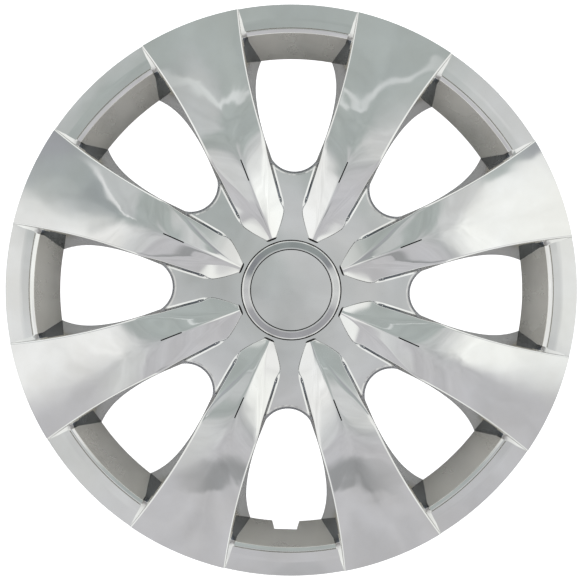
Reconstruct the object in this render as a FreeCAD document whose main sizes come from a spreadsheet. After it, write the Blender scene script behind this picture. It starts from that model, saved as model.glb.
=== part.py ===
import FreeCAD, Part
import Sketcher
import math
import os

# A push-fit wheel cover lying on the ends of its legs, front face up, axis on Z.
# Two sub-parts: the moulded shell with its legs, and the wire ring seated in the legs.

doc = FreeCAD.newDocument("hubcap")
sheet = doc.addObject("Spreadsheet::Sheet", "sizes")


class Length:
    # A length known as a number and as an expression on the sheet, so a formula is written once.

    def __init__(self, text, value):
        self.text = text
        self.value = float(value)

    def joined(self, sign, other, value):
        return Length("(%s %s %s)" % (self.text, sign, as_length(other).text), value)

    def __add__(self, other):
        return self.joined("+", other, self.value + as_length(other).value)

    def __sub__(self, other):
        return self.joined("-", other, self.value - as_length(other).value)

    def __mul__(self, other):
        return self.joined("*", other, self.value * as_length(other).value)

    def __truediv__(self, other):
        return self.joined("/", other, self.value / as_length(other).value)

    def __pow__(self, other):
        return self.joined("^", other, self.value ** as_length(other).value)


def as_length(item):
    if isinstance(item, Length):
        return item
    return Length(repr(item), item)


def least(a, b):
    return Length("min(%s; %s)" % (a.text, b.text), min(a.value, b.value))


def most(a, b):
    return Length("max(%s; %s)" % (a.text, b.text), max(a.value, b.value))


def cell(alias, value, note):
    row = cell.row = cell.row + 1
    sheet.set("A%d" % row, note)
    sheet.set("B%d" % row, str(value))
    sheet.setAlias("B%d" % row, alias)
    return Length("sizes.%s" % alias, value)


cell.row = 0

cover_radius = cell("cover_radius", 212.5, "outside of the skirt")
wall = cell("wall", 2.6, "thickness of the moulding")
spoke_count = cell("spoke_count", 8, "spokes, and as many windows between them")
seat_height = cell("seat_height", 20, "back edge of the skirt above the leg ends")
edge_bevel_skirt = cell("edge_bevel_skirt", 2.4, "bevel of the front edge of the skirt")
band_edge_height = cell("band_edge_height", 26, "front of the rim band at the skirt")
band_bead_height = cell("band_bead_height", 27.4, "front of the rim band at the bead")
crease_in = cell("crease_in", 11.5, "crease along the rim band, in from the skirt")
crease_height = cell("crease_height", 27.3, "front of the rim band at the crease")
band_width = cell("band_width", 17.3, "rim band from the skirt to the bead")
bead_width = cell("bead_width", 4.4, "bead round the windows")
bead_inner_height = cell("bead_inner_height", 25.6, "top of the window wall")
wall_run = cell("wall_run", 17, "window wall from the bead in to its back edge")
flange_height = cell("flange_height", 8, "back edge of the window wall above the leg ends")
crown_height = cell("crown_height", 46.5, "highest point of the spoke ridge")
crown_radius = cell("crown_radius", 101.5, "where the ridge is highest")
crown_arc = cell("crown_arc", 200, "radius of the ridge line round its highest point")
crown_end = cell("crown_end", 140, "where the ridge line runs into the flatter outer arc")
outer_arc = cell("outer_arc", 1800, "radius of the ridge line towards the rim")
tip_radius = cell("tip_radius", 41, "hub end of a spoke")
tip_half = cell("tip_half", 4.2, "half width of a spoke at its hub end")
waist_radius = cell("waist_radius", 90, "where the straight middle of a spoke begins")
waist_half = cell("waist_half", 21.5, "half width of a spoke at its waist")
flare_arc = cell("flare_arc", 417, "radius of the spoke edge from the waist to the rim")
flank_radius = cell("flank_radius", 104, "where the flank narrows down to the edge bevel")
edge_bevel = cell("edge_bevel", 1, "width of the bevel along the spoke edge")
flank_slope = cell("flank_slope", 0.5, "fall of the flank across its width")
roof_slope = cell("roof_slope", 0.325, "fall of the spoke face away from the ridge at the hub")
roof_end = cell("roof_end", 150, "where the ridge has faded out")
foot_out = cell("foot_out", 1.2, "how much wider a spoke is at its back edge")
foot_flare = cell("foot_flare", 15.8, "how much more the back edge spreads at the rim")
foot_in = cell("foot_in", 10.8, "middle of that spread, in from the window wall")
foot_run = cell("foot_run", 9, "how gently the back edge spreads")
hub_radius = cell("hub_radius", 100, "outside of the hub under the spokes")
hub_bottom = cell("hub_bottom", 25, "back edge of the hub in the windows")
web_height = cell("web_height", 34.6, "web beside the centre ring")
web_bend_radius = cell("web_bend_radius", 70, "where the web starts to fall")
web_bend_height = cell("web_bend_height", 33.8, "web where it starts to fall")
web_edge_height = cell("web_edge_height", 31.8, "web at the outside of the hub")
ring_radius = cell("ring_radius", 37, "outside of the centre ring")
ring_inner_radius = cell("ring_inner_radius", 30.8, "inside of the centre ring")
ring_height = cell("ring_height", 37.4, "inner edge of the centre ring")
ring_foot_height = cell("ring_foot_height", 35.2, "outer edge of the centre ring")
disc_height = cell("disc_height", 37, "centre disc")
scallop_radius = cell("scallop_radius", 20, "hub end of a window")
scallop_centre = cell("scallop_centre", 108.2, "axis of that round end from the wheel axis")
notch_depth = cell("notch_depth", 5.8, "valve notch into the back edge of the window wall")
notch_floor_half = cell("notch_floor_half", 8.4, "half width of the notch floor")
notch_mouth_half = cell("notch_mouth_half", 10.8, "half width of the notch at the window")
leg_in = cell("leg_in", 22.9, "inner face of a leg, in from the skirt")
leg_thick = cell("leg_thick", 3, "thickness of a leg")
leg_width = cell("leg_width", 18.5, "width of a leg")
barb_reach = cell("barb_reach", 3.4, "how far a barb stands out from its leg")
barb_height = cell("barb_height", 5.5, "tip of a barb above the leg end")
ledge_reach = cell("ledge_reach", 3.8, "how far the two ledges stand in from a leg")
ledge_thick = cell("ledge_thick", 2.2, "thickness of a ledge")
wire_radius = cell("wire_radius", 1.6, "half the thickness of the ring wire")
wire_height = cell("wire_height", 8.4, "ring wire above the leg ends")
wire_gap = cell("wire_gap", 0.2, "free play round the wire")
doc.recompute()

crease_radius = cover_radius - crease_in
bead_outer_radius = cover_radius - band_width
bead_inner_radius = bead_outer_radius - bead_width
flange_radius = bead_inner_radius - wall_run
foot_radius = flange_radius - foot_in
notch_radius = flange_radius + notch_depth
leg_radius = cover_radius - leg_in


def origin(body, role):
    for item in body.Origin.OriginFeatures:
        if item.Role == role:
            return item


def new_sketch(body, name, role):
    sketch = body.newObject("Sketcher::SketchObject", name)
    sketch.AttachmentSupport = [(origin(body, role), "")]
    sketch.MapMode = "FlatFace"
    return sketch


def hold(sketch, kind, length, *where):
    # One bound dimension, or a point on the axis where the distance is nothing.
    if length.value == 0:
        axis = -2 if kind == "DistanceX" else -1
        sketch.addConstraint(Sketcher.Constraint("PointOnObject", where[2], where[3], axis))
        return
    index = sketch.addConstraint(Sketcher.Constraint(kind, *where, length.value))
    sketch.setExpression("Constraints[%d]" % index, length.text)


def outline(sketch, corners, mirrored=False):
    # A closed outline of straight edges, each corner held by two bound distances.
    # A mirrored outline is given from its back right corner to the top, which lies on the axis.
    corners = [(as_length(x), as_length(y)) for x, y in corners]
    spots = [FreeCAD.Vector(x.value, y.value, 0) for x, y in corners]
    given = len(spots)
    if mirrored:
        spots += [FreeCAD.Vector(-v.x, v.y, 0) for v in spots[-2::-1]]
    count = len(spots)
    for k in range(count):
        sketch.addGeometry(Part.LineSegment(spots[k], spots[(k + 1) % count]))
    for k in range(count):
        sketch.addConstraint(Sketcher.Constraint("Coincident", k, 2, (k + 1) % count, 1))
    for k, (x, y) in enumerate(corners):
        hold(sketch, "DistanceX", x, -1, 1, k, 1)
        hold(sketch, "DistanceY", y, -1, 1, k, 1)
    for k in range(given, count):
        sketch.addConstraint(Sketcher.Constraint("Symmetric", k, 1, count - 1 - k, 1, -2))


def revolve(body, name, sketch, kind="PartDesign::Revolution"):
    feature = body.newObject(kind, name)
    feature.Profile = sketch
    feature.ReferenceAxis = (sketch, ["V_Axis"])
    feature.Angle = 360
    body.Tip = feature
    return feature


def all_round(body, name, feature):
    pattern = body.newObject("PartDesign::PolarPattern", name)
    pattern.Originals = [feature]
    pattern.Axis = (origin(body, "Z_Axis"), [""])
    pattern.Angle = 360
    pattern.setExpression("Occurrences", spoke_count.text)
    body.Tip = pattern
    return pattern


# The spoke runs along X. Each section is an upright outline across it: back edge,
# foot of the side wall, shoulder and ridge on one side, and the same mirrored.

hub_run = waist_radius - tip_radius
rim_run = cover_radius - crown_end
STATIONS = [
    ("hub", tip_radius),
    ("hub", tip_radius + hub_run * 0.25),
    ("hub", tip_radius + hub_run * 0.52),
    ("hub", tip_radius + hub_run * 0.8),
    ("bend", waist_radius + (crown_end - waist_radius) * 0.1),
    ("bend", waist_radius + (crown_end - waist_radius) * 0.5),
    ("arm", crown_end),
    ("arm", crown_end + rim_run * 0.32),
    ("arm", crown_end + rim_run * 0.66),
    ("arm", cover_radius),
    ("arm", cover_radius + 14),
]


def ramp(length, blend):
    # Nothing on one side of zero, the length itself on the other, with a soft bend between.
    return ((length ** 2 + blend ** 2) ** 0.5 + length) / 2


def ridge(zone, s):
    if zone != "arm":
        return crown_height - (s - crown_radius) ** 2 / (crown_arc * 2)
    start = crown_height - (crown_end - crown_radius) ** 2 / (crown_arc * 2)
    fall = (crown_end - crown_radius) / crown_arc * (s - crown_end)
    return start - fall - (s - crown_end) ** 2 / (outer_arc * 2)


def slope(zone, s):
    if zone != "arm":
        return (s - crown_radius) / crown_arc
    return (crown_end - crown_radius) / crown_arc + (s - crown_end) / outer_arc


def edge_half(zone, s):
    if zone == "hub":
        return waist_half - (waist_half - tip_half) * ((waist_radius - s) / hub_run) ** 3
    return waist_half + (s - waist_radius) ** 2 / (flare_arc * 2)


def shoulder_half(zone, s):
    share = as_length(1) - ramp(flank_radius - s, as_length(8)) / (flank_radius - tip_radius + 4)
    return (edge_half(zone, s) - edge_bevel - 0.8) * share ** 1.25 + 0.8


def shoulder_height(zone, s):
    half = shoulder_half(zone, s)
    fade = ramp(roof_end - s, as_length(12)) / (roof_end - tip_radius)
    return ridge(zone, s) - fade * roof_slope * half - slope(zone, s) * half ** 2 / (s * 2)


def edge_height(zone, s):
    return shoulder_height(zone, s) - flank_slope * (edge_half(zone, s) - shoulder_half(zone, s))


def back_half(zone, s):
    share = Length("(1 + exp(%s))" % ((foot_radius - s) / foot_run).text,
                   1 + math.exp((foot_radius.value - s.value) / foot_run.value))
    return edge_half(zone, s) + foot_out + foot_flare / share


def spoke_section(body, name, zone, s, inset):
    sketch = new_sketch(body, name, "YZ_Plane")
    sketch.setExpression("AttachmentOffset.Base.z", s.text)
    corners = [
        (back_half(zone, s), flange_height),
        (edge_half(zone, s), edge_height(zone, s)),
        (shoulder_half(zone, s), shoulder_height(zone, s)),
        (0, ridge(zone, s)),
    ]
    if inset:
        corners = [
            (corners[0][0] - wall, corners[0][1] - 1),
            (corners[1][0] - wall, corners[1][1] - wall * 0.75),
            (0, corners[3][1] - wall),
        ]
    outline(sketch, corners, mirrored=True)
    return sketch


def spoke(body, name, stations, inset):
    sections = []
    for k, (zone, s) in enumerate(stations):
        sections.append(spoke_section(body, "%s_section_%d" % (name, k), zone, s, inset))
    loft = body.newObject("PartDesign::AdditiveLoft", name)
    loft.Profile = sections[0]
    loft.Sections = sections[1:]
    loft.Ruled = False
    body.Tip = loft
    return loft


def scallops(body, name, radius):
    # The round hub end of each window, cut before the spokes are added.
    sketch = new_sketch(body, name + "_circle", "XY_Plane")
    turn = math.radians(180 / spoke_count.value)
    centre = FreeCAD.Vector(math.cos(turn), math.sin(turn), 0) * scallop_centre.value
    sketch.addGeometry(Part.Circle(centre, FreeCAD.Vector(0, 0, 1), radius.value))
    across = Length("(%s * cos(180 deg / %s))" % (scallop_centre.text, spoke_count.text), centre.x)
    up = Length("(%s * sin(180 deg / %s))" % (scallop_centre.text, spoke_count.text), centre.y)
    hold(sketch, "DistanceX", across, -1, 1, 0, 3)
    hold(sketch, "DistanceY", up, -1, 1, 0, 3)
    index = sketch.addConstraint(Sketcher.Constraint("Radius", 0, radius.value))
    sketch.setExpression("Constraints[%d]" % index, radius.text)
    pocket = body.newObject("PartDesign::Pocket", name)
    pocket.Profile = sketch
    pocket.Type = "ThroughAll"
    pocket.Midplane = True
    body.Tip = pocket
    return all_round(body, name + "_all", pocket)


# The hollow behind the front face: the same hub, spokes and rim, one wall thickness smaller.

hollow = doc.addObject("PartDesign::Body", "hollow")
profile = new_sketch(hollow, "hub_hollow_profile", "XZ_Plane")
outline(profile, [
    (0, hub_bottom - 4),
    (hub_radius - wall, hub_bottom - 4),
    (hub_radius - wall, web_edge_height - wall),
    (web_bend_radius, web_bend_height - wall),
    (ring_radius + wall, web_height - wall),
    (ring_inner_radius, disc_height - wall),
    (0, disc_height - wall),
])
revolve(hollow, "hub_hollow", profile)
scallops(hollow, "scallop_hollow", scallop_radius + wall)
all_round(hollow, "spoke_hollows", spoke(hollow, "spoke_hollow", STATIONS[1:], True))
profile = new_sketch(hollow, "hollow_limit_profile", "XZ_Plane")
outline(profile, [
    (cover_radius - wall * 1.4, flange_height - 5),
    (cover_radius + 30, flange_height - 5),
    (cover_radius + 30, crown_height + 20),
    (cover_radius - wall * 1.4, crown_height + 20),
])
revolve(hollow, "hollow_limit", profile, "PartDesign::Groove")
profile = new_sketch(hollow, "rim_hollow_profile", "XZ_Plane")
outline(profile, [
    (flange_radius + wall * 1.4, flange_height - 1),
    (cover_radius - wall, flange_height - 1),
    (cover_radius - wall, band_edge_height - wall),
    (bead_outer_radius, band_bead_height - wall),
    (bead_inner_radius + wall, bead_inner_height - wall * 0.6),
    (flange_radius + wall * 1.4, flange_height),
])
revolve(hollow, "rim_hollow", profile)

# The moulded shell: hub, spokes and rim joined, trimmed round at the skirt, then hollowed.

cover = doc.addObject("PartDesign::Body", "wheel_cover")
profile = new_sketch(cover, "hub_profile", "XZ_Plane")
outline(profile, [
    (0, hub_bottom - 2),
    (hub_radius, hub_bottom - 2),
    (hub_radius, web_edge_height),
    (web_bend_radius, web_bend_height),
    (ring_radius, web_height),
    (ring_radius, ring_foot_height),
    (ring_inner_radius, ring_height),
    (ring_inner_radius, disc_height),
    (0, disc_height),
])
revolve(cover, "hub", profile)
scallops(cover, "scallop", scallop_radius)
all_round(cover, "spokes", spoke(cover, "spoke", STATIONS, False))
edge_top = ridge("arm", cover_radius)
profile = new_sketch(cover, "skirt_limit_profile", "XZ_Plane")
outline(profile, [
    (cover_radius - wall * 2, flange_height - 5),
    (cover_radius + 30, flange_height - 5),
    (cover_radius + 30, crown_height + 20),
    (cover_radius - edge_bevel_skirt * 1.4, crown_height + 20),
    (cover_radius - edge_bevel_skirt * 1.4, edge_top + edge_bevel_skirt * 0.8),
    (cover_radius, edge_top - edge_bevel_skirt),
    (cover_radius, seat_height),
    (cover_radius - wall * 2, seat_height),
])
revolve(cover, "skirt_limit", profile, "PartDesign::Groove")
profile = new_sketch(cover, "rim_profile", "XZ_Plane")
outline(profile, [
    (cover_radius - wall, seat_height),
    (cover_radius, seat_height),
    (cover_radius, band_edge_height - edge_bevel_skirt),
    (cover_radius - edge_bevel_skirt, band_edge_height),
    (crease_radius, crease_height),
    (bead_outer_radius, band_bead_height),
    (bead_inner_radius, bead_inner_height),
    (flange_radius, flange_height),
    (flange_radius + wall * 1.4, flange_height),
])
revolve(cover, "rim", profile)
profile = new_sketch(cover, "back_limit_profile", "XZ_Plane")
outline(profile, [
    (0, flange_height - 4),
    (crown_end, flange_height - 4),
    (crown_end, flange_height),
    (waist_radius, hub_bottom),
    (0, hub_bottom),
])
revolve(cover, "back_limit", profile, "PartDesign::Groove")
opened = cover.newObject("PartDesign::Boolean", "hollowed")
opened.Type = "Cut"
opened.setObjects([hollow])
cover.Tip = opened

# The snap legs behind the spokes: a barb outside that catches the wheel,
# and two ledges inside that hold the wire.

profile = new_sketch(cover, "leg_profile", "XZ_Plane")
leg_top = ridge("arm", leg_radius + leg_thick) - wall / 2
low_ledge = wire_height - wire_radius - wire_gap
high_ledge = wire_height + wire_radius + wire_gap
leg_outer = leg_radius + leg_thick
outline(profile, [
    (leg_radius, 0),
    (leg_outer, 0),
    (leg_outer, barb_height - 3),
    (leg_outer + barb_reach, barb_height),
    (leg_outer + barb_reach, barb_height + 1),
    (leg_outer, barb_height + 5),
    (leg_outer, leg_top),
    (leg_radius, leg_top),
    (leg_radius, high_ledge + ledge_thick),
    (leg_radius - ledge_reach, high_ledge + ledge_thick),
    (leg_radius - ledge_reach, high_ledge),
    (leg_radius, high_ledge),
    (leg_radius, low_ledge),
    (leg_radius - ledge_reach, low_ledge),
    (leg_radius - ledge_reach, low_ledge - ledge_thick),
    (leg_radius, low_ledge - ledge_thick),
])
leg = cover.newObject("PartDesign::Pad", "leg")
leg.Profile = profile
leg.Midplane = True
leg.setExpression("Length", leg_width.text)
cover.Tip = leg
all_round(cover, "legs", leg)

# The valve notch in the back edge of one window wall.

profile = new_sketch(cover, "notch_outline", "XY_Plane")
half_pitch = 180 / spoke_count.value
profile.AttachmentOffset = FreeCAD.Placement(
    FreeCAD.Vector(0, 0, 0), FreeCAD.Rotation(FreeCAD.Vector(0, 0, 1), -90 - half_pitch))
outline(profile, [
    (flange_radius - 6, (notch_mouth_half + 1) * -1),
    (notch_radius, notch_floor_half * -1),
    (notch_radius, notch_floor_half),
    (flange_radius - 6, notch_mouth_half + 1),
])
notch = cover.newObject("PartDesign::Pocket", "valve_notch")
notch.Profile = profile
notch.Type = "ThroughAll"
notch.Midplane = True
cover.Tip = notch

# The windows face along X and Y, the one with the notch along minus Y.

cover.Placement = FreeCAD.Placement(
    FreeCAD.Vector(0, 0, 0), FreeCAD.Rotation(FreeCAD.Vector(0, 0, 1), half_pitch))

# The wire ring, free by the play in every leg. The round wire is drawn with eight flats.

wire = doc.addObject("PartDesign::Body", "retention_ring")
profile = new_sketch(wire, "wire_profile", "XZ_Plane")
wire_middle = leg_radius - wire_radius - wire_gap
turns = [math.radians(22.5 + 45 * k) for k in range(8)]
reach = 1 / math.cos(math.radians(22.5))
outline(profile, [
    (wire_middle + wire_radius * round(reach * math.cos(turn), 5),
     wire_height + wire_radius * round(reach * math.sin(turn), 5))
    for turn in turns
])
revolve(wire, "wire", profile)

doc.recompute()

bad = [item.Name for item in doc.Objects if "Invalid" in item.State or "Error" in item.State]
if bad:
    raise RuntimeError("features that failed: " + ", ".join(bad))
os.makedirs("parts", exist_ok=True)
for part in (cover, wire):
    part.Label = part.Name
    shape = part.Shape
    if shape.isNull() or not shape.isValid() or len(shape.Solids) != 1:
        raise RuntimeError(part.Label + " is not one sound solid")
    shape.exportStep("parts/%s.step" % part.Label)
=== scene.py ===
import bmesh
import bpy
import math
from mathutils import Matrix


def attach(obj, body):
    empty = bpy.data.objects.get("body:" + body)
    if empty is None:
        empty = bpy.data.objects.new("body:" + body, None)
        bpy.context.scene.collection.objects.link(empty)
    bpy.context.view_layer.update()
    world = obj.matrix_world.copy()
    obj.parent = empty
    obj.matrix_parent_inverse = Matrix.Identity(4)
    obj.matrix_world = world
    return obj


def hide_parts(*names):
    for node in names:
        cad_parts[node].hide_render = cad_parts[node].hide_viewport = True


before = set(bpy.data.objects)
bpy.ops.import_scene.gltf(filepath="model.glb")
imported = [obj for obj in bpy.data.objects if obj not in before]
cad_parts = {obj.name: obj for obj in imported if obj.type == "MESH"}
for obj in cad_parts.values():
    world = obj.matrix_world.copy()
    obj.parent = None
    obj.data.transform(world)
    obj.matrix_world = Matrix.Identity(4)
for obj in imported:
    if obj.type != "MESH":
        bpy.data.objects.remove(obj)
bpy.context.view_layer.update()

# The wheel cover: one injection moulding in ABS, chrome plated all over. The front is a hub, eight
# spokes and a rim joined into one skin, hollow behind, so it is built as the outside less the hollow.
MM = 0.001
wall = 2.6
cover_radius = 212.5
seat_height = 20.0
hub_bottom = 25.0
flange_height = 8.0
spoke_turn = math.radians(22.5)


def as_object(name, bm):
    bmesh.ops.remove_doubles(bm, verts=bm.verts[:], dist=1e-7)
    bmesh.ops.recalc_face_normals(bm, faces=bm.faces[:])
    mesh = bpy.data.meshes.new(name)
    bm.to_mesh(mesh)
    bm.free()
    piece = bpy.data.objects.new(name, mesh)
    bpy.context.scene.collection.objects.link(piece)
    return piece


def set_round(bm):
    # Eight of a kind round the wheel axis, the first one as drawn.
    bmesh.ops.spin(bm, geom=bm.verts[:] + bm.edges[:] + bm.faces[:], cent=(0, 0, 0), axis=(0, 0, 1),
                   angle=math.tau * 7 / 8, steps=7, use_duplicate=True)


def drawn_out(bm, corners, way):
    # A flat outline drawn out into a block.
    side = bm.faces.new([bm.verts.new([c * MM for c in corner]) for corner in corners])
    grown = bmesh.ops.extrude_face_region(bm, geom=[side], use_keep_orig=True)
    bmesh.ops.translate(bm, verts=[v for v in grown["geom"] if isinstance(v, bmesh.types.BMVert)],
                        vec=[c * MM for c in way])


def turned(name, outline, rounds, steps, on_axis):
    # An outline of radius and height, some corners rounded, spun round the wheel axis.
    bm = bmesh.new()
    corners = [bm.verts.new((r * MM, 0, z * MM)) for r, z in outline]
    for k in range(len(corners) - 1):
        bm.edges.new((corners[k], corners[k + 1]))
    if not on_axis:
        bm.edges.new((corners[-1], corners[0]))
    for k, radius in rounds:
        bmesh.ops.bevel(bm, geom=[corners[k]], offset=radius * MM, segments=5, profile=0.5,
                        affect="VERTICES", material=-1)
    bmesh.ops.spin(bm, geom=bm.verts[:] + bm.edges[:], cent=(0, 0, 0), axis=(0, 0, 1),
                   angle=math.tau, steps=steps, use_merge=True)
    return as_object(name, bm)


def combined(base, operation, tool):
    join = base.modifiers.new("join", "BOOLEAN")
    join.operation = operation
    join.solver = "MANIFOLD"
    join.object = tool
    graph = bpy.context.evaluated_depsgraph_get()
    mesh = bpy.data.meshes.new_from_object(base.evaluated_get(graph))
    base.modifiers.clear()
    base.data = mesh
    bpy.data.objects.remove(tool)
    return base


# The spoke face: a ridge line of two arcs, a roof that falls to both sides and fades out towards
# the rim, and a flank beside it that narrows to the edge bevel.
tip_radius, nose = 41.0, 1.5
corner_radius, corner_half = 59.0, 18.2
waist_radius, waist_half, flare_arc = 90.0, 21.5, 417.0
crown_height, crown_radius, crown_arc, crown_end, outer_arc = 46.5, 101.5, 200.0, 140.0, 1800.0
flank_radius, flank_slope, edge_bevel = 104.0, 0.5, 1.0
roof_slope, roof_end = 0.325, 150.0
foot_out, foot_flare, foot_radius, foot_run = 0.3, 11.8, 168.7, 15.0
slit_start, slit_end, slit_half, slit_depth = 85.0, 103.0, 0.45, 0.9
groove_width, groove_depth = 0.3, 0.7
ridge_round, ridge_fade, fade_start, fade_end = 0.8, 11.0, 92, 128
crisp_start, crisp_end, crisp_slope = 100, 116, 0.12
strip_width, strip_start, strip_full, strip_thin, strip_end = 2.5, 55, 66, 88, 114
web_foot, web_foot_height, band_start, band_full, band_foot = 1.3, 0.85, 183, 190, 0.59
web_height, web_start, web_arc = 34.6, 37, 1400


def ramp(length, blend):
    return (math.hypot(length, blend) + length) / 2


def smooth(value, start, end):
    u = min(1.0, max(0.0, (value - start) / (end - start)))
    return u * u * (3 - 2 * u)


def ridge(s):
    inner = min(s, crown_end)
    height = crown_height - (inner - crown_radius) ** 2 / (2 * crown_arc)
    over = max(0.0, s - crown_end)
    return height - (crown_end - crown_radius) / crown_arc * over - over ** 2 / (2 * outer_arc)


def fall(s):
    return (min(s, crown_end) - crown_radius) / crown_arc + max(0.0, s - crown_end) / outer_arc


def edge_half(s):
    # Straight from the waist to a soft corner beside the web, then in to the tip.
    inside = corner_radius - s
    tip_part = corner_half - 0.6 * inside - 0.0096 * max(0.0, inside) ** 2
    side_part = waist_half + (waist_half - corner_half) * (s - waist_radius) / (waist_radius - corner_radius)
    if s > waist_radius:
        side_part = waist_half + (s - waist_radius) ** 2 / (2 * flare_arc)
    return (tip_part + side_part) / 2 - math.hypot((tip_part - side_part) / 2, 0.8)


def shoulder_half(s):
    share = 1 - ramp(flank_radius - s, 8.0) / (flank_radius - tip_radius + 4)
    return (edge_half(s) - edge_bevel - 0.8) * share ** 1.25 + 0.8


def face_height(s, t):
    fade = ramp(roof_end - s, 12.0) / (roof_end - tip_radius)
    soft = ridge_round + ridge_fade * smooth(s, fade_start, fade_end)
    away = math.hypot(t, soft) - soft
    return ridge(s) - fade * roof_slope * away - fall(s) * t ** 2 / (2 * s)


def back_half(s):
    # The side wall leans out more and more up to the crease of the window corner.
    return edge_half(s) + foot_out + foot_flare * math.exp(min(0.0, s - foot_radius) / foot_run)


def web(r):
    return web_height - (r - web_start) ** 2 / web_arc


def eased(before, corner, after, reach):
    # Points round a corner, from the line before it to the line after it.
    way_in = (before[0] - corner[0], before[1] - corner[1])
    way_out = (after[0] - corner[0], after[1] - corner[1])
    near = min(reach / math.hypot(*way_in), 0.45)
    far = min(reach / math.hypot(*way_out), 0.45)
    points = []
    for k in range(5):
        u = k / 4
        a, b = (1 - u) ** 2 * near, u ** 2 * far
        points.append((corner[0] + way_in[0] * a + way_out[0] * b,
                       corner[1] + way_in[1] * a + way_out[1] * b))
    return points


def key_points(s):
    # Shoulder, edge and back of one half of the outline across the spoke, and the width of the strip
    # that leans out beside the web.
    shoulder = (shoulder_half(s), face_height(s, shoulder_half(s)))
    strip = strip_width * smooth(s, strip_start, strip_full) * (1 - smooth(s, strip_thin, strip_end))
    slope = flank_slope + crisp_slope * smooth(s, crisp_start, crisp_end)
    edge = (edge_half(s) - strip, shoulder[1] - slope * (edge_half(s) - strip - shoulder[0]))
    back = (back_half(s), flange_height)
    depth = 3.0 / (edge[1] - flange_height)
    return shoulder, edge, (back[0] + (back[0] - edge[0]) * depth, flange_height - 3.0), strip


def face_section(s):
    # One half of the outline across the spoke, from the ridge over the edge to the back.
    # Inside the tip radius the outline shrinks into a rounded nose.
    sunk = max(0.0, tip_radius - s) / nose
    s = max(s, tip_radius)
    shoulder, edge, back, strip = key_points(s)
    inner = (shoulder[0] * 0.5, face_height(s, shoulder[0] * 0.5))
    crisp = smooth(s, crisp_start, crisp_end)
    rounding = (0.8 + 6.0 * smooth(s, 48, 100)) * (1 - crisp) + 0.25 * crisp
    round_shoulder = eased(inner, shoulder, edge, rounding)
    round_edge = eased(shoulder, edge, back, 0.8 - 0.5 * crisp)
    points = []
    for k in range(12):
        t = round_shoulder[0][0] * (k / 12) ** 1.6
        if k == 1 and slit_start < s < slit_end:
            t = slit_half
        points.append((t, face_height(s, t)))
    # A short slit runs along the ridge and tapers out at both ends.
    slit = smooth(s, slit_start, slit_start + 4) * (1 - smooth(s, slit_end - 4, slit_end))
    points[0] = (0.0, points[0][1] - slit_depth * slit)
    points += round_shoulder + round_edge
    # Beside the web and beside the rim band the wall ends in a sloping foot.
    top = round_edge[4]
    beside_web = s < 150
    low = web(s) - 0.4 + 0.12 * strip if beside_web else 25.1 + 1.7 * smooth(s, 150, 180)
    drop = top[1] - low
    bevel = band_foot * drop * smooth(s, band_start, band_full)
    spread = strip + bevel + (back[0] - edge[0]) * drop / (top[1] - back[1]) * (1 - strip / strip_width)
    share = strip / strip_width + smooth(s, band_start, band_full)
    out_foot, up_foot = 0.07, 0.73
    if beside_web:
        out_foot, up_foot = max(0.3, 1 - web_foot / spread), web_foot_height / drop
    sloping = [(out_foot / 2, (1 + up_foot) / 2), (out_foot, up_foot)]
    sloping += [(out_foot + (1 - out_foot) * k / 3, up_foot * (1 - k / 3)) for k in (1, 2, 3)]
    for k in range(5):
        u = (k + 1) / 5 * (1 - share) + sloping[k][0] * share
        v = (4 - k) / 5 * (1 - share) + sloping[k][1] * share
        points.append((top[0] + spread * u, low + drop * v))
    foot = points[-1]
    for k in range(1, 4):
        u = k / 3
        points.append((foot[0] + (max(back[0], foot[0]) - foot[0]) * u,
                       foot[1] + (back[1] - foot[1]) * u))
    keep = math.sqrt(1 - min(1.0, sunk) ** 2)
    return [(t * (0.35 + 0.65 * keep), min(z, 33.5) + max(0.0, z - 33.5) * keep) for t, z in points]


def hollow_section(s):
    # The same outline one wall thickness inside.
    shoulder, edge, back, _ = key_points(s)
    narrow = (edge[0] - wall) / edge[0]
    return [(0.0, ridge(s) - wall), (shoulder[0] * narrow * 0.5, face_height(s, shoulder[0] / 2) - wall),
            (shoulder[0] * narrow, shoulder[1] - wall), (edge[0] - wall, edge[1] - 0.75 * wall),
            (back[0] - wall, back[1] - 1.0)]


def groove_section(s):
    # A little wider than the foot of the spoke, and a little deeper than the web.
    sunk = max(0.0, tip_radius - s) / (nose + groove_width)
    half = edge_half(max(s, tip_radius)) * (0.35 + 0.65 * math.sqrt(1 - sunk ** 2)) + groove_width
    return [(0.0, 60.0), (half, 60.0), (half, web(s) - groove_depth)]


def spoke_ring(name, stations, section):
    # A grid laid over the spoke, closed along its back and at both ends, then set round the hub.
    across = len(section(stations[0])) * 2 - 1
    middle = across // 2
    bm = bmesh.new()
    bmesh.ops.create_grid(bm, x_segments=len(stations) - 1, y_segments=across - 1, size=1)
    sections = [section(s) for s in stations]
    sides = {0: [], across - 1: []}
    for v in bm.verts:
        row = round((v.co.x + 1) / 2 * (len(stations) - 1))
        column = round((v.co.y + 1) / 2 * (across - 1))
        t, z = sections[row][abs(column - middle)]
        v.co = (stations[row] * MM, math.copysign(t, column - middle) * MM, z * MM)
        if column in sides:
            sides[column].append(v)
    edges = [e for e in bm.edges
             if any(e.verts[0] in side and e.verts[1] in side for side in sides.values())]
    bmesh.ops.bridge_loops(bm, edges=edges)
    bmesh.ops.holes_fill(bm, edges=[e for e in bm.edges if e.is_boundary], sides=0)
    bmesh.ops.rotate(bm, verts=bm.verts[:], cent=(0, 0, 0), matrix=Matrix.Rotation(spoke_turn, 3, "Z"))
    set_round(bm)
    return as_object(name, bm)


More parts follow.
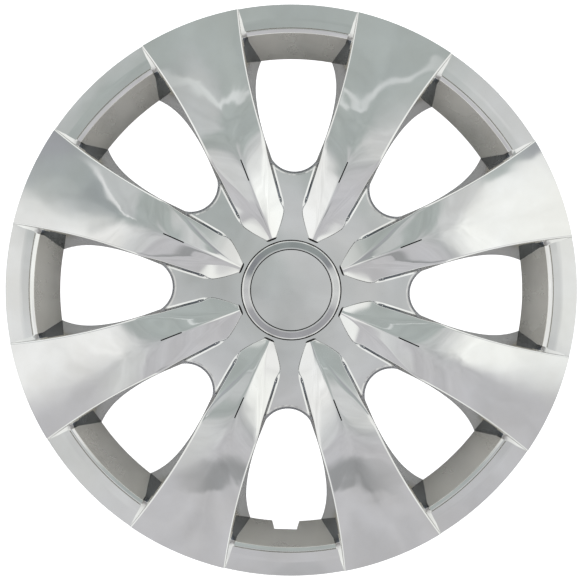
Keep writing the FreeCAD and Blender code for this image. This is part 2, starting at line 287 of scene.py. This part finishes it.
# The outside: the hub turned with its web, centre ring and disc, and scalloped between the spokes.
hub_outline = [(0, hub_bottom), (100, hub_bottom)]
hub_outline += [(r, web(r)) for r in range(100, 39, -3)]
hub_outline += [(37.2, web_height), (37.15, 33.6), (36.75, 33.6), (36.4, 35.2), (35.6, 35.75), (31.2, 37.3),
                (30.4, 37.3), (30.1, 36.4), (29.85, 36.4), (29.6, 36.95)]
ring_edges = [(hub_outline.index((36.4, 35.2)), 0.4), (hub_outline.index((35.6, 35.75)), 0.4),
              (hub_outline.index((31.2, 37.3)), 0.35), (hub_outline.index((30.4, 37.3)), 0.3)]
hub_outline += [(r, 36.95 + 0.4 * (1 - (r / 29.6) ** 2)) for r in range(28, 0, -4)]
hub_outline += [(0, 37.35)]
window_centre, web_lean = 108.2, 0.0792


def scalloped(hub, low_radius, high_radius, low, high, lean):
    # Less the round hub end of each window: a cone from one height to another, leaning with the web.
    bm = bmesh.new()
    bmesh.ops.create_cone(bm, cap_ends=True, segments=96, radius1=low_radius * MM, radius2=high_radius * MM,
                          depth=(high - low) * MM)
    bmesh.ops.rotate(bm, verts=bm.verts[:], cent=(0, 0, 0), matrix=Matrix.Rotation(lean, 3, "Y"))
    bmesh.ops.translate(bm, verts=bm.verts[:], vec=(window_centre * MM, 0, (low + high) / 2 * MM))
    set_round(bm)
    return combined(hub, "DIFFERENCE", as_object("window_ends", bm))


cover = turned("wheel_cover_moulding", hub_outline, ring_edges, 240, True)
groove_stations = [tip_radius - (nose + groove_width) * n for n in (0.99, 0.9, 0.7, 0.4)]
groove_stations += [tip_radius + 2.0 * k for k in range(9)]
cover = combined(cover, "DIFFERENCE", spoke_ring("foot_grooves", groove_stations, groove_section))
cover = scalloped(cover, 22.27, 25.82, 30.455, 32.655, web_lean)

stations = [tip_radius - nose * n for n in (0.99, 0.95, 0.88, 0.78, 0.62, 0.4, 0.2)]
stations += [tip_radius + 1.5 * k for k in range(52)]
stations += [119.0 + 3.0 * k for k in range(16)]
stations += [166.5, 168.3, foot_radius, 169.1] + [172.0 + 3.0 * k for k in range(19)]
edge_top = ridge(cover_radius)
limit = [(0, hub_bottom), (90, hub_bottom), (140, flange_height), (207.3, flange_height),
         (207.3, seat_height), (cover_radius, seat_height), (cover_radius, edge_top + 0.2),
         (cover_radius - 0.7, edge_top + 1.2), (cover_radius - 3.4, edge_top + 60), (0, 90)]
spokes = combined(spoke_ring("spokes", stations, face_section), "INTERSECT",
                  turned("spoke_limit", limit, [], 240, True))
cover = scalloped(combined(cover, "UNION", spokes), 18.67, 24.0, 20, 40, 0.0)

# The rim between the spokes: the outer band, a bead with a groove beside it, and the drafted wall.
band = [(209.9, seat_height), (cover_radius, seat_height), (cover_radius, 25.9), (201, 27.1), (195.0, 27.45),
        (194.6, 26.6), (194.2, 27.35), (193.4, 27.2), (191.2, 25.84), (190.6, 25.2), (173.8, flange_height),
        (177.44, flange_height)]
rim = turned("rim", band, [(2, 0.5), (3, 1.5), (6, 0.3), (7, 0.5), (8, 0.35)], 240, False)
cover = combined(cover, "UNION", rim)

# The hollow behind the face, one wall thickness inside it: the hub, a tunnel along each spoke and the
# channel round the rim.
hub_hollow = [(0, hub_bottom - 4), (97.4, hub_bottom - 4), (97.4, 29.2), (70, 31.2), (39.6, 32.0),
              (30.8, 34.4), (0, 34.4)]
kept_wall = 20.0 + wall
hollow = scalloped(turned("hub_hollow", hub_hollow, [], 240, True), kept_wall, kept_wall, 20, 40, 0.0)
tunnel_limit = [(0, 0), (208.86, 0), (208.86, 80), (0, 80)]
tunnels = spoke_ring("spoke_hollows", [53 + 5.0 * k for k in range(33)], hollow_section)
tunnels = combined(tunnels, "INTERSECT", turned("hollow_limit", tunnel_limit, [], 240, True))
hollow = combined(hollow, "UNION", tunnels)
channel = [(177.44, 7), (209.9, 7), (209.9, 23.4), (195.2, 24.8), (193.4, 24.04), (177.44, 8)]
hollow = combined(hollow, "UNION", turned("rim_hollow", channel, [], 240, False))
cover = combined(cover, "DIFFERENCE", hollow)

# Behind each spoke a leg with a barb outside and two ledges inside, moulded on, and the valve notch in
# the wall of one window.
leg_top = ridge(192.6) - wall / 2
leg_outline = [(189.6, 0), (192.6, 0), (192.6, 2.5), (196.0, 5.5), (196.0, 6.5), (192.6, 10.5),
               (192.6, leg_top), (189.6, leg_top), (189.6, 12.4), (185.8, 12.4), (185.8, 10.2), (189.6, 10.2),
               (189.6, 6.6), (185.8, 6.6), (185.8, 4.4), (189.6, 4.4)]
leg_width = 18.5
bm = bmesh.new()
drawn_out(bm, [(x, -leg_width / 2, z) for x, z in leg_outline], (0, leg_width, 0))
bmesh.ops.rotate(bm, verts=bm.verts[:], cent=(0, 0, 0), matrix=Matrix.Rotation(spoke_turn, 3, "Z"))
set_round(bm)
cover = combined(cover, "UNION", as_object("legs", bm))
notch_floor, notch_mouth, notch_start, notch_end = 8.4, 11.8, 167.8, 179.6
bm = bmesh.new()
drawn_out(bm, [(-notch_mouth, -notch_start, 0), (notch_mouth, -notch_start, 0), (notch_floor, -notch_end, 0),
               (-notch_floor, -notch_end, 0)], (0, 0, 40))
cover = combined(cover, "DIFFERENCE", as_object("valve_notch", bm))

# In front of each spoke tip a crescent is sunk into the web.
crescent_radius, crescent_width, crescent_floor = 40.5, 1.2, 33.2
bow = [math.radians(-6 + 1.0 * k) for k in range(13)]
crescent = [(crescent_radius, a) for a in bow]
crescent += [(crescent_radius - crescent_width * (1 - (a / bow[0]) ** 2), a) for a in reversed(bow[1:-1])]
bm = bmesh.new()
drawn_out(bm, [(r * math.cos(a + spoke_turn), r * math.sin(a + spoke_turn), crescent_floor)
               for r, a in crescent], (0, 0, 20))
set_round(bm)
cover = combined(cover, "DIFFERENCE", as_object("tip_crescents", bm))

# The cuts leave a few faces with no width, which are closed up.
bm = bmesh.new()
bm.from_mesh(cover.data)
bmesh.ops.dissolve_degenerate(bm, edges=bm.edges[:], dist=1e-7)
bm.to_mesh(cover.data)
bm.free()


def srgb(code):
    channels = [int(code[k:k + 2], 16) / 255 for k in (1, 3, 5)]
    return [c / 12.92 if c <= 0.04045 else ((c + 0.055) / 1.055) ** 2.4 for c in channels] + [1.0]


def node(tree, kind, inputs, **settings):
    # Adds one node, sets its properties, and gives each named input a link or a value.
    item = tree.nodes.new(kind)
    for key, value in settings.items():
        setattr(item, key, value)
    for key, source in inputs.items():
        if isinstance(source, bpy.types.NodeSocket):
            tree.links.new(source, item.inputs[key])
        else:
            item.inputs[key].default_value = source
    return item.outputs


# Bright chrome on moulded ABS: a mirror, with the long waves of the moulding under the plating and
# a faint haze. On the drafted walls and the back the mould is left as cut, so the plating is satin there;
# on the centre ring it is greyer. A darkened chrome paints shade into the window corners and the spoke feet.
cover.data.materials.clear()
for name, dull, clear, sharpest, softest in (("bright_chrome_on_abs", "#e3e3e2", "#eaebec", 0.03, 0.05),
                                             ("satin_chrome_on_abs", "#d3d1cc", "#dddbd6", 0.24, 0.34),
                                             ("grey_chrome_on_abs", "#bcbdbf", "#c6c7c9", 0.10, 0.16),
                                             ("shade_darkened_chrome", "#656a72", "#747a83", 0.12, 0.20)):
    plating = bpy.data.materials.new(name)
    plating.use_nodes = True
    tree = plating.node_tree
    shader = tree.nodes["Principled BSDF"]
    shader.inputs["Metallic"].default_value = 1.0
    place = node(tree, "ShaderNodeTexCoord", {})["Object"]
    haze = node(tree, "ShaderNodeTexNoise", {"Vector": place, "Scale": 1 / 0.045, "Detail": 4.0,
                                             "Roughness": 0.6})["Fac"]
    share = node(tree, "ShaderNodeMapRange", {"Value": haze, "From Min": 0.35, "From Max": 0.7})["Result"]
    tint = node(tree, "ShaderNodeMix", {"Factor": share, 6: srgb(dull), 7: srgb(clear)}, data_type="RGBA")[2]
    tree.links.new(tint, shader.inputs["Base Color"])
    gloss = node(tree, "ShaderNodeMapRange", {"Value": share, "To Min": sharpest,
                                              "To Max": softest})["Result"]
    tree.links.new(gloss, shader.inputs["Roughness"])
    waves = node(tree, "ShaderNodeTexNoise", {"Vector": place, "Scale": 1 / 0.026, "Detail": 1.0})["Fac"]
    lift = node(tree, "ShaderNodeBump", {"Height": waves, "Strength": 0.65, "Distance": 0.2 * MM})["Normal"]
    tree.links.new(lift, shader.inputs["Normal"])
    cover.data.materials.append(plating)

# Painted shade: near-black matt in the slits, the crescents and the grooves round the centre ring.
groove_shade_material = bpy.data.materials.new("painted_groove_shade")
groove_shade_material.use_nodes = True
shader = groove_shade_material.node_tree.nodes["Principled BSDF"]
shader.inputs["Base Color"].default_value = srgb("#1d1e21")
shader.inputs["Roughness"].default_value = 0.55
cover.data.materials.append(groove_shade_material)

# Each face gets its finish by where it lies on the cover and how steep it stands.
mirror, satin, grey, painted_shade_chrome, painted_shade_black = range(5)
for face in cover.data.polygons:
    reach = math.hypot(face.center.x, face.center.y) / MM
    height = face.center.z / MM
    turn = math.atan2(face.center.y, face.center.x) - spoke_turn
    turn -= round(turn * 8 / math.tau) * math.tau / 8
    along, aside = reach * math.cos(turn), abs(reach * math.sin(turn))
    inward = -(face.normal.x * face.center.x + face.normal.y * face.center.y) / (reach * MM)
    rise, low = face.normal.z, height - web(reach)
    past_edge = aside - edge_half(along)
    rim_wall = 160 < reach < 192 and inward > 0.5 and rise < 0.8
    window_corner = foot_radius < along and reach < 189.5 and rise < 0.75 and past_edge > 1
    side_wall = rise < 0.45 and reach > 97
    window_end = rise < 0.45 and reach > 85 and low < 0 and past_edge > 0.6
    spoke_foot = 57 < along < 97 and rise < 0.6 and low > 0 and past_edge > -3.5
    ring_face = 31.4 < reach < 35.4 and 35 < height < 37.5
    slit = slit_start + 1 < reach < slit_end - 1 and aside < slit_half and height > 40
    sunk = -1.5 < low < -0.1 and (39.2 < reach < 40.6 or 36.4 < reach < 37.3)
    disc_groove = 29.5 < reach < 30.25 and 36 < height < 36.9
    finish = mirror
    # Painted shade: the slits, crescents and ring grooves are filled near-black.
    if slit or sunk or disc_groove:
        finish = painted_shade_black
    elif rise < 0.05 or rim_wall:
        finish = satin
    # Painted shade: the window corners get the darkened chrome.
    elif window_corner:
        finish = painted_shade_chrome
    elif side_wall:
        finish = satin
    elif window_end or ring_face:
        finish = grey
    # Painted shade: the strips beside the spoke feet get the darkened chrome too.
    elif spoke_foot:
        finish = painted_shade_chrome
    face.material_index = finish
    face.use_smooth = True
cover.data.set_sharp_from_angle(angle=math.radians(24))
normals = cover.modifiers.new("normals", "WEIGHTED_NORMAL")
normals.mode = "FACE_AREA"
normals.weight = 50
normals.keep_sharp = True
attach(cover, "root")
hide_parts("wheel_cover")

# The retention ring: 3.2 mm spring steel wire bent round and welded, zinc plated, sprung into the
# ledges of the legs. A circle spun round the wheel axis.
ring_radius, wire_radius, ring_height = 187.8, 1.6, 8.4
bm = bmesh.new()
bmesh.ops.create_circle(bm, segments=24, radius=wire_radius * MM)
bmesh.ops.rotate(bm, verts=bm.verts[:], cent=(0, 0, 0), matrix=Matrix.Rotation(math.pi / 2, 3, "X"))
bmesh.ops.translate(bm, verts=bm.verts[:], vec=(ring_radius * MM, 0, ring_height * MM))
bmesh.ops.spin(bm, geom=bm.verts[:] + bm.edges[:], cent=(0, 0, 0), axis=(0, 0, 1), angle=math.tau, steps=240,
               use_merge=True)
ring = as_object("retention_wire_ring", bm)
for face in ring.data.polygons:
    face.use_smooth = True

# Zinc plate on spring steel: grey and half dull, with the cloudy bloom of zinc about 6 mm across.
zinc = bpy.data.materials.new("zinc_plated_spring_steel")
zinc.use_nodes = True
tree = zinc.node_tree
shader = tree.nodes["Principled BSDF"]
shader.inputs["Metallic"].default_value = 1.0
place = node(tree, "ShaderNodeTexCoord", {})["Object"]
bloom = node(tree, "ShaderNodeTexNoise", {"Vector": place, "Scale": 1 / 0.006, "Detail": 5.0})["Fac"]
share = node(tree, "ShaderNodeMapRange", {"Value": bloom, "From Min": 0.3, "From Max": 0.75})["Result"]
tint = node(tree, "ShaderNodeMix", {"Factor": share, 6: srgb("#a9abad"), 7: srgb("#c6c7c6")},
            data_type="RGBA")[2]
tree.links.new(tint, shader.inputs["Base Color"])
gloss = node(tree, "ShaderNodeMapRange", {"Value": bloom, "To Min": 0.28, "To Max": 0.5})["Result"]
tree.links.new(gloss, shader.inputs["Roughness"])
ring.data.materials.append(zinc)
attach(ring, "root")
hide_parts("retention_ring")

# The stage: a large sheet of pale matt paper laid flat under the cover. It is shown white, as in the
# photograph, and is dim in the chrome.
bm = bmesh.new()
bmesh.ops.create_grid(bm, x_segments=1, y_segments=1, size=6.0)
floor = as_object("floor", bm)
pale = bpy.data.materials.new("pale_floor_paper")
pale.use_nodes = True
tree = pale.node_tree
paper = tree.nodes["Principled BSDF"]
paper.inputs["Base Color"].default_value = srgb("#e6e7ec")
paper.inputs["Roughness"].default_value = 0.9
paper.inputs["Specular IOR Level"].default_value = 0.1
paper.inputs["Emission Color"].default_value = srgb("#ffffff")
seen = node(tree, "ShaderNodeLightPath", {})["Is Camera Ray"]
tree.links.new(seen, paper.inputs["Emission Strength"])
floor.data.materials.append(pale)

# The studio that the chrome mirrors: grey walls, cooler above the picture than below it, with a bright
# panel at either side, soft patches of shade and glow, and a bright ring low down for the chamfers. Their
# edges drift in waves. x and y run across the picture, z up, out away from the axis.
studio = bpy.data.worlds.new("studio")
studio.use_nodes = True
bpy.context.scene.world = studio
tree = studio.node_tree
sky = tree.nodes["Background"]
way = node(tree, "ShaderNodeTexCoord", {})["Generated"]
drift = node(tree, "ShaderNodeTexNoise", {"Vector": way, "Scale": 6.0, "Detail": 3.0})["Color"]
drift = node(tree, "ShaderNodeVectorMath", {0: drift, 1: (0.5, 0.5, 0.5)}, operation="SUBTRACT")[0]
bent = node(tree, "ShaderNodeVectorMath", {0: drift, 1: (0.16, 0.16, 0.0), 2: way},
            operation="MULTIPLY_ADD")[0]
x, y, z = node(tree, "ShaderNodeSeparateXYZ", {"Vector": bent})
wide = node(tree, "ShaderNodeMath", {0: x}, operation="ABSOLUTE")[0]
lean = node(tree, "ShaderNodeMath", {0: x, 1: -0.07, 2: y}, operation="MULTIPLY_ADD")[0]
lean = node(tree, "ShaderNodeMath", {0: lean}, operation="ABSOLUTE")[0]
slant = node(tree, "ShaderNodeMath", {0: wide, 1: 0.02}, operation="MAXIMUM")[0]
slant = node(tree, "ShaderNodeMath", {0: lean, 1: slant}, operation="DIVIDE")[0]
out = node(tree, "ShaderNodeMath", {0: x, 1: x}, operation="MULTIPLY")[0]
out = node(tree, "ShaderNodeMath", {0: y, 1: y, 2: out}, operation="MULTIPLY_ADD")[0]
out = node(tree, "ShaderNodeMath", {0: out}, operation="SQRT")[0]
ahead = node(tree, "ShaderNodeMath", {0: y, 1: 0.42, 2: x}, operation="MULTIPLY_ADD")[0]
tilt = node(tree, "ShaderNodeMath", {0: x, 1: -0.42, 2: y}, operation="MULTIPLY_ADD")[0]
tilt = node(tree, "ShaderNodeMath", {0: tilt, 1: ahead}, operation="DIVIDE")[0]
tilt = node(tree, "ShaderNodeMath", {0: tilt}, operation="ABSOLUTE")[0]
left, right = (x, 0.05, -0.05), (x, -0.05, 0.05)
patches = (
    ((0.47, 0.51, 0.495, 1), [(y, -0.30, 0.25)]),
    ((0.63, 0.64, 0.64, 1), [(ahead, -0.03, 0.06), (out, 0.24, 0.12)]),
    ((0.37, 0.375, 0.38, 1), [(y, -0.32, -0.42), (y, -0.468, -0.455), (wide, 0.30, 0.16)]),
    ((0.42, 0.43, 0.45, 1), [(y, 0.16, 0.30), (out, 0.52, 0.58), (out, 0.78, 0.70), (wide, 0.38, 0.50)]),
    ((0.39, 0.42, 0.42, 1), [(x, -0.16, -0.24), (y, 0.12, 0.18), (out, 0.40, 0.47), (out, 0.56, 0.50)]),
    ((0.60, 0.62, 0.615, 1), [(slant, 0.58, 0.62), (x, -0.16, -0.24), (y, 0.12, 0.18), (out, 0.30, 0.38),
                              (out, 0.56, 0.50)]),
    ((0.92, 0.93, 0.92, 1), [(slant, 0.58, 0.595), (slant, 0.63, 0.615), (x, -0.16, -0.24), (y, 0.12, 0.18),
                             (out, 0.30, 0.38), (out, 0.56, 0.50)]),
    ((0.90, 0.91, 0.89, 1), [(slant, 0.54, 0.49), (y, 0.02, 0.10), (out, 0.22, 0.40), right]),
    ((0.74, 0.75, 0.745, 1), [(tilt, 0.95, 0.35), (out, 0.14, 0.30), (out, 0.52, 0.42)]),
    ((1.0, 1.0, 0.98, 1), [(slant, 0.52, 0.24), (out, 0.22, 0.46), left]),
    ((1.12, 1.13, 1.09, 1), [(slant, 0.58, 0.26), (out, 0.22, 0.46), right]),
    ((1.0, 1.0, 0.98, 1), [(slant, 1.05, 0.6), (y, 0.0, 0.1), (out, 0.66, 0.8)]),
    ((0.76, 0.79, 0.78, 1), [(y, 0.430, 0.438), (y, 0.454, 0.446), (wide, 0.45, 0.2)]),
    ((1.05, 1.06, 1.03, 1), [(out, 0.868, 0.882), (out, 0.985, 0.955)]),
    ((0.33, 0.32, 0.315, 1), [(z, 0.40, 0.05)]),
)
walls = (0.62, 0.615, 0.63, 1)
for light, edges in patches:
    share = 1.0
    for axis, start, end in edges:
        share = node(tree, "ShaderNodeMapRange", {"Value": axis, "From Min": start, "From Max": end,
                                                  "To Max": share}, interpolation_type="SMOOTHSTEP")["Result"]
    walls = node(tree, "ShaderNodeMix", {"Factor": share, 6: walls, 7: light}, data_type="RGBA")[2]
tree.links.new(walls, sky.inputs["Color"])
mottle = node(tree, "ShaderNodeTexNoise", {"Vector": way, "Scale": 8.0, "Detail": 3.0,
                                           "Distortion": 1.0})["Fac"]
mottle = node(tree, "ShaderNodeMapRange", {"Value": mottle, "From Min": 0.3, "From Max": 0.7, "To Min": 0.91,
                                           "To Max": 1.09})["Result"]
tree.links.new(mottle, sky.inputs["Strength"])

# The camera stands straight above the cover, turned a little, as the photograph was taken. Its frame is
# the photograph's, with the wheel axis a fraction of a pixel from the middle.
photo_width, pixel, sensor, distance = 583, 0.7448, 36.0, 1.4
eye = bpy.data.cameras.new("camera")
eye.sensor_width = sensor
eye.lens = sensor / (photo_width * pixel * MM) * distance
eye.shift_x = -(291.2 - 291.5) / photo_width
eye.shift_y = (290.1 - 290.5) / photo_width
camera = bpy.data.objects.new("camera", eye)
camera.location = (0, 0, distance + 0.023)
camera.rotation_euler = (0, 0, math.radians(1.36))
bpy.context.scene.collection.objects.link(camera)
bpy.context.scene.camera = camera
bpy.context.scene.view_settings.view_transform = "Standard"
